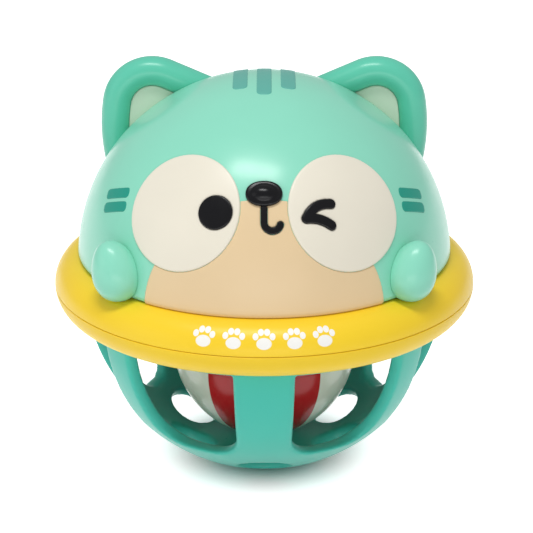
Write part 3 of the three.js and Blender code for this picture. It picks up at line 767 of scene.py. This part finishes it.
def mouth_outline(place):
    x, y = flat_spot(place, 0, MOUTH_UP)
    hook = arc(MOUTH_HOOK, 0, MOUTH_HOOK, 180, MOUTH_HOOK_END, steps=12)
    return stroke(x, y, [(0, MOUTH_STEM), *hook]) - MOUTH_WIDTH / 2


def muzzle_rule(place, size):
    outline = round_spot(place, 0, MUZZLE_UP, size["radius"])
    for side in (-1, 1):
        outline = both(outline, -round_spot(place, side * EYE_SIDE, EYE_UP, EYE_R + PAD_GAP))
    outline = both(outline, -(mouth_outline(place) - PAD_GAP))
    return inlaid(outline, skin(place), -MUZZLE_DEPTH, MUZZLE_PROUD, MUZZLE_EDGE)


def oval(x, y, width, height):
    """Distance from an oval whose sides are a little fuller than an ellipse's."""
    wide = (abs(x) / (width / 2)).math("POWER", OVAL_POWER)
    high = (abs(y) / (height / 2)).math("POWER", OVAL_POWER)
    return ((wide + high).math("POWER", 1 / OVAL_POWER) - 1) * (height / 2)


def nose_rule(place, size):
    x, y = flat_spot(place, 0, NOSE_UP)
    over = skin(place)
    width, height = size["width"], size["height"]
    lip = both(over - NOSE_LIP, -NOSE_SINK - over)
    button = round_both(oval(x, y, width, height), lip, NOSE_EDGE)
    wide, high = x / (width - NOSE_MARGIN[0]), y / (height - NOSE_MARGIN[1])
    crown = length(wide, high, over / size["crown"]) - 0.5
    return either(button, crown * NOSE_CROWN_SCALE, NOSE_EDGE)


muzzle = formed(
    "muzzle_inlay", muzzle_rule, MUZZLE_LOW, MUZZLE_HIGH, MUZZLE_CELL, peach, radius=MUZZLE_R)
fitted(muzzle, "toy", "peach_plastic", "muzzle")
low, high = patch_box(2, MOUTH_UP, reach=(5, 5.5), depth=1.2)
mouth_rule = mark_rule(mouth_outline, -MOUTH_DEPTH, MOUTH_EDGE)
mouth = formed("mouth_stroke", mouth_rule, low, high, MARK_CELL, black, proud=MOUTH_PROUD)
fitted(mouth, "toy", "black_plastic", "mouth")
low, high = patch_box(0, NOSE_UP, reach=(5.6, 4.4), depth=2.6)
nose = formed(
    "nose_button", nose_rule, low, high, NOSE_CELL, black, width=9.4, height=6.7, crown=4.4)
fitted(nose, "toy", "black_plastic", "nose")

# Forehead stripes and cheek bars: thin inlays of darker teal plastic with round corners. They are
# pressed in pockets of the dome and lie flush with its skin.

FLUSH_DEPTH = 0.5
FLUSH_PROUD = 0.15
FLUSH_EDGE = 0.1
FLUSH_CELL = 0.2
stripe_teal = plastic("stripe_inlay", (94, 178, 164), roughness=0.4, ior=1.4)
cheek_teal = plastic("cheek_inlay", (26, 154, 134), roughness=0.36, ior=1.38)


def bar(x, y, long, wide, corner):
    """Distance from a bar with round corners."""
    return round_both(abs(x) - long / 2, abs(y) - wide / 2, corner)


STRIPE_WIDTH = 4
STRIPE_CORNER = 1.5
STRIPE_LOW = HEAD_Z + 44
STRIPE_HIGH = HEAD_Z + 52.2
STRIPE_MARGIN = 1
STRIPES = {"left": (-6.4, -9.2, 17), "middle": (0, -13, 20), "right": (6.4, -9.2, 17)}


def stripe_rule(middle, front, back):
    """Rule of a stripe that runs back over the dome."""
    def rule(place, size):
        x, y = place[:2]
        outline = bar(y - (front + back) / 2, x - middle, back - front, size["width"], STRIPE_CORNER)
        return inlaid(outline, skin(place), -FLUSH_DEPTH, FLUSH_PROUD, FLUSH_EDGE)
    return rule


for name, (middle, front, back) in STRIPES.items():
    reach = STRIPE_WIDTH / 2 + STRIPE_MARGIN
    low = (middle - reach, front - STRIPE_MARGIN, STRIPE_LOW)
    high = (middle + reach, back + STRIPE_MARGIN, STRIPE_HIGH)
    rule = stripe_rule(middle, front, back)
    stripe = formed(f"stripe_{name}", rule, low, high, FLUSH_CELL, stripe_teal, width=STRIPE_WIDTH)
    fitted(stripe, "toy", "stripe_plastic", f"forehead_stripe_{name}")

CHEEK_SIDE = 46.6
CHEEK_UP = 25.1
CHEEK_TILT = math.radians(19.3)
CHEEK_PITCH = 3.75
CHEEK_LENGTH = 10.2
CHEEK_WIDTH = 2.85
CHEEK_CORNER = 1.1


def cheek_rule(side, row):
    """Rule of the upper or lower bar on one cheek, which rises towards the ear."""
    def rule(place, size):
        x, y = flat_spot(place, side * CHEEK_SIDE, CHEEK_UP)
        x = x * -side
        run = x * math.cos(CHEEK_TILT) + y * math.sin(CHEEK_TILT)
        over = y * math.cos(CHEEK_TILT) - x * math.sin(CHEEK_TILT)
        from_bar = over - (0.5 - row) * CHEEK_PITCH
        outline = bar(run, from_bar, size["length"], size["width"], CHEEK_CORNER)
        return inlaid(outline, skin(place), -FLUSH_DEPTH, FLUSH_PROUD, FLUSH_EDGE)
    return rule


for name, side in (("left", -1), ("right", 1)):
    for level, row in (("upper", 0), ("lower", 1)):
        low, high = patch_box(side * CHEEK_SIDE, CHEEK_UP, reach=(7.5, 6))
        cheek = formed(
            f"cheek_{level}_{name}", cheek_rule(side, row), low, high, FLUSH_CELL, cheek_teal,
            length=CHEEK_LENGTH, width=CHEEK_WIDTH)
        fitted(cheek, "toy", "cheek_plastic", f"cheek_bar_{level}_{name}")

# Ears: thick smooth hoops of mint plastic that lean out over the sides of the dome, moulded with
# a closed back. A pale panel is pressed inside each.

EAR_Y = 14
EAR_HOOP_R = 4.05
EAR_TIP_R = 9.9
EAR_LEAN = math.radians(38.3)
EAR_OUTER = math.radians(170.4)
EAR_BOW = 0.0103
EAR_INNER = math.radians(66.5)
EAR_OUT = 0.35
EAR_REACH = math.sqrt(HEAD_R ** 2 - EAR_Y ** 2) + EAR_OUT
EAR_WEB_Y = 15.9
EAR_WEB_WALL = 4.4
EAR_WEB_FILLET = 1.5
EAR_SINK = 0.4
EAR_CELL = 0.4
EAR_BOX_SIDES = (3, 48)
EAR_BOX_DEPTH = (9, 19)
EAR_BOX_HEIGHT = (HEAD_Z + 8, HEAD_Z + 54)
PANEL_Y = 12.8
PANEL_WALL = 1.2
PANEL_EDGE = 0.3
PANEL_INSET = 3.85
PANEL_CELL = 0.3
# The ears' mint is a darker, deeper copy of the dome's mint: painted shade for the shade that falls on
# the hoops and inside them.
shaded_ear_mint = plastic("ear_mint_painted_shade", (98, 204, 176), roughness=0.32, ior=1.3, coat=0.3)
ear_green = plastic("ear_panel", (212, 228, 206), roughness=0.5)


def ear_inside(place, side):
    """Distance from the line of the hoop, below zero inside it."""
    x, y, z = from_head(place)
    right = x * -side + EAR_REACH * math.sin(EAR_LEAN)
    above = z - EAR_REACH * math.cos(EAR_LEAN)
    outer = right * math.cos(EAR_OUTER) + above * math.sin(EAR_OUTER)
    inner = right * math.cos(EAR_INNER) + above * math.sin(EAR_INNER)
    down = right * -math.sin(EAR_OUTER) + above * math.cos(EAR_OUTER)
    away = right * math.sin(EAR_INNER) - above * math.cos(EAR_INNER)
    outer = outer + down * both(down, 0) * EAR_BOW
    tip = down.math("LESS_THAN", 0) * away.math("LESS_THAN", 0)
    return tip * length(right, above) + (1 - tip) * both(outer, inner) - EAR_TIP_R


def over_dome(place):
    """Distance to the space outside the dome, which starts a little under its skin."""
    return HEAD_R - EAR_SINK - length(*from_head(place))


def ear_rule(side):
    """Rule of one ear: a hoop and the web that closes its back."""
    def rule(place, size):
        inside = ear_inside(place, side)
        hoop = length(inside, place[1] - EAR_Y) - size["hoop"]
        web = both(inside, abs(place[1] - EAR_WEB_Y) - EAR_WEB_WALL / 2)
        return both(either(hoop, web, EAR_WEB_FILLET), over_dome(place))
    return rule


def panel_rule(side):
    """Rule of the flat panel inside one ear."""
    def rule(place, size):
        face = abs(place[1] - PANEL_Y) - PANEL_WALL / 2
        plate = both(ear_inside(place, side) + size["inset"], face, PANEL_EDGE)
        return both(plate, over_dome(place))
    return rule


for name, side in (("left", -1), ("right", 1)):
    sides = sorted(side * x for x in EAR_BOX_SIDES)
    low, high = zip(sides, EAR_BOX_DEPTH, EAR_BOX_HEIGHT)
    ear = formed(f"ear_hoop_{name}", ear_rule(side), low, high, EAR_CELL, shaded_ear_mint, hoop=EAR_HOOP_R)
    fitted(ear, "toy", "mint_plastic", f"ear_{name}")
    panel = formed(
        f"ear_inside_{name}", panel_rule(side), low, high, PANEL_CELL, ear_green, inset=PANEL_INSET)
    fitted(panel, "toy", "ear_panel_plastic", f"ear_panel_{name}")

# Paws: egg shapes of mint plastic, fuller below. They are pressed on the dome, hollowed to fit it
# and the ring, and hang over the ring's front.

PAW_TURN = math.radians(47.2)
PAW_REACH = 52.4
PAW_SIDE = PAW_REACH * math.sin(PAW_TURN)
PAW_Y = -PAW_REACH * math.cos(PAW_TURN)
PAW_UP = 9
PAW_TILT = math.radians(18)
PAW_BELLY = 0.2
PAW_GAP = 0.03
PAW_EDGE = 0.2
PAW_CELL = 0.25
PAW_BOX = 9.5


def paw_rule(side):
    """Rule of one paw: an egg that leans, cut back to the dome and the ring."""
    def rule(place, size):
        x, y, z = from_head(place)
        right, back, above = x - side * PAW_SIDE, y - PAW_Y, z - PAW_UP
        lean = side * PAW_TILT
        aside = right * math.cos(lean) - above * math.sin(lean)
        rise = (right * math.sin(lean) + above * math.cos(lean)) / size["height"]
        wide = size["width"] * (1 - rise * PAW_BELLY)
        egg = (length(length(aside, back) / wide, rise) - 1) * size["width"]
        egg = both(egg, HEAD_R + PAW_GAP - length(x, y, z), PAW_EDGE)
        tube = length(length(x, y) - RING_R, place[2] - RING_Z)
        return both(egg, TUBE_R + PAW_GAP - tube, PAW_EDGE)
    return rule


for name, side in (("left", -1), ("right", 1)):
    low, high = box_round([(side * PAW_SIDE, PAW_Y, HEAD_Z + PAW_UP)], PAW_BOX)
    paw = formed(f"paw_egg_{name}", paw_rule(side), low, high, PAW_CELL, mint, width=6.45, height=8.3)
    fitted(paw, "toy", "mint_plastic", f"paw_{name}")

# Rattle ball: two half shells of off-white plastic on a sleeve, painted with three red gores
# that meet at the poles. Steel beads lie loose in it.

BALL_R = 25.5
BALL_WALL = 1.8
BALL_Z = 32.0
POLE_R = 5
BALL_BORE = 4.3
BALL_SEAM = 0.06
GORES = 3
GORE_TURN = math.radians(37)
GORE_CRISP = 40


def gores(spot, tint):
    """Red gores over the plain colour, with a crisp edge, and how far they stand up."""
    x, y = axes(spot)[:2]
    wave = (x.math("ARCTAN2", -y) * GORES).math("COSINE") - math.cos(GORES * GORE_TURN)
    mask = clamped(wave * GORE_CRISP + 0.5)
    red = spot.node("ShaderNodeMix", {"data_type": "RGBA"}, {
        0: mask, 6: tint, 7: linear((198, 32, 38))}, out=2)
    return red, mask


striped = plastic("striped_plastic", (244, 242, 226), roughness=0.22, paint=gores)


def half_ball(sign):
    """Profile of the upper or lower half, from the seam to the bore at the pole and back."""
    inner = BALL_R - BALL_WALL
    pole = math.degrees(math.acos(POLE_R / BALL_R))
    inner_pole = math.degrees(math.acos(BALL_BORE / inner))
    outline = arc(0, 0, BALL_R, BALL_SEAM, pole, steps=48)
    outline += [(BALL_BORE, outline[-1][1])]
    outline += arc(0, 0, inner, inner_pole, BALL_SEAM, steps=32)
    return [(r, BALL_Z + sign * z) for r, z in outline]


for name, sign in (("ball_upper", 1), ("ball_lower", -1)):
    half = turned(name + "_shell", half_ball(sign), striped, steps=192)
    fitted(half, "ball", "ball_plastic", name)

BEAD_R = 2.2
BEAD_CIRCLE = 6.5
BEAD_Z = BALL_Z - 18.13
bead_profile = raised(arc(0, 0, BEAD_R, 90, -90, steps=16), BEAD_Z)
beads = turned(
    "steel_beads", bead_profile, steel, steps=24, count=6, circle=BEAD_CIRCLE, start=math.pi / 6)
fitted(beads, "ball", "steel", "bead_1", "bead_2", "bead_3", "bead_4", "bead_5", "bead_6")

# Floor, lamps and camera, with places in metres: a pale sheet under soft studio light, seen from a
# little above. For the camera the sheet brightens to white away from the foot, and keeps the
# shadow by the foot.

FADE_START = 0.014
FADE_END = 0.034
FADE_GLOW = 0.88
FLOOR_REACH = 3.0
WORLD_LIGHT = 0.47
LAMP_AIM = (0, 0, 0.06)
CAMERA_DOWN = 20.73
sheet = bpy.data.materials.new("pale_sheet")
sheet.use_nodes = True
tree = sheet.node_tree
sheet.cycles.emission_sampling = "NONE"
sheet_shader = tree.nodes["Principled BSDF"]
sheet_shader.inputs["Base Color"].default_value = (0.9, 0.9, 0.9, 1)
sheet_shader.inputs["Roughness"].default_value = 0.9
sheet_shader.inputs["Specular IOR Level"].default_value = 0
seen = Wire(tree).node("ShaderNodeLightPath", out="Is Camera Ray")
for ray in ("Is Glossy Ray", "Is Transmission Ray"):
    seen = both(seen, seen.node("ShaderNodeLightPath", out=ray))
from_foot = length(*axes(seen.node("ShaderNodeTexCoord", out="Object"))[:2])
fade = seen.node("ShaderNodeMapRange", {"interpolation_type": "SMOOTHSTEP"}, {
    "Value": from_foot, "From Min": FADE_START, "From Max": FADE_END, "To Min": 0.0,
    "To Max": FADE_GLOW})
glow = seen.node("ShaderNodeEmission", {}, {"Color": (1, 1, 1, 1), "Strength": seen * fade})
total = seen.node("ShaderNodeAddShader", {}, {0: Wire(tree, sheet_shader.outputs[0]), 1: glow})
tree.links.new(total.socket, tree.nodes["Material Output"].inputs["Surface"])
floor_mesh = bpy.data.meshes.new("floor")
corners = [(x * FLOOR_REACH, y * FLOOR_REACH, 0) for x, y in ((-1, -1), (1, -1), (1, 1), (-1, 1))]
floor_mesh.from_pydata(corners, [], [(0, 1, 2, 3)])
floor_mesh.materials.append(sheet)
floor = bpy.data.objects.new("floor", floor_mesh)
bpy.context.scene.collection.objects.link(floor)

world = bpy.data.worlds.new("studio")
bpy.context.scene.world = world
world.use_nodes = True
tree = world.node_tree
sky = tree.nodes["Background"]
seen = Wire(tree).node("ShaderNodeLightPath", out="Is Camera Ray")
sky.inputs["Color"].default_value = (1, 1, 1, 1)
tree.links.new((WORLD_LIGHT + seen * (1 - WORLD_LIGHT)).socket, sky.inputs["Strength"])


def lamp(name, place, size, power):
    """A rectangular soft light of a width and a height, turned to the object."""
    light = bpy.data.lights.new(name, "AREA")
    light.shape = "RECTANGLE"
    light.size, light.size_y = size
    light.energy = power
    made = bpy.data.objects.new(name, light)
    bpy.context.scene.collection.objects.link(made)
    made.location = place
    aim = Vector(LAMP_AIM) - Vector(place)
    made.rotation_euler = aim.to_track_quat("-Z", "Y").to_euler()


lamp("overhead", place=(-0.06, -0.24, 0.75), size=(0.34, 0.12), power=2.4)
lamp("left_fill", place=(-0.70, -0.35, 0.25), size=(0.5, 0.5), power=0.5)
lamp("low_front", place=(0, -0.70, 0.08), size=(0.5, 0.12), power=0.6)

camera_data = bpy.data.cameras.new("camera")
camera_data.lens = 132.0
camera_data.sensor_width = 36
camera_data.shift_x = -0.002
camera = bpy.data.objects.new("camera", camera_data)
bpy.context.scene.collection.objects.link(camera)
camera.location = (0.00089, -0.5084, 0.24771)
camera.rotation_euler = (math.radians(90 - CAMERA_DOWN), 0, 0)
bpy.context.scene.camera = camera
bpy.context.scene.view_settings.view_transform = "Standard"
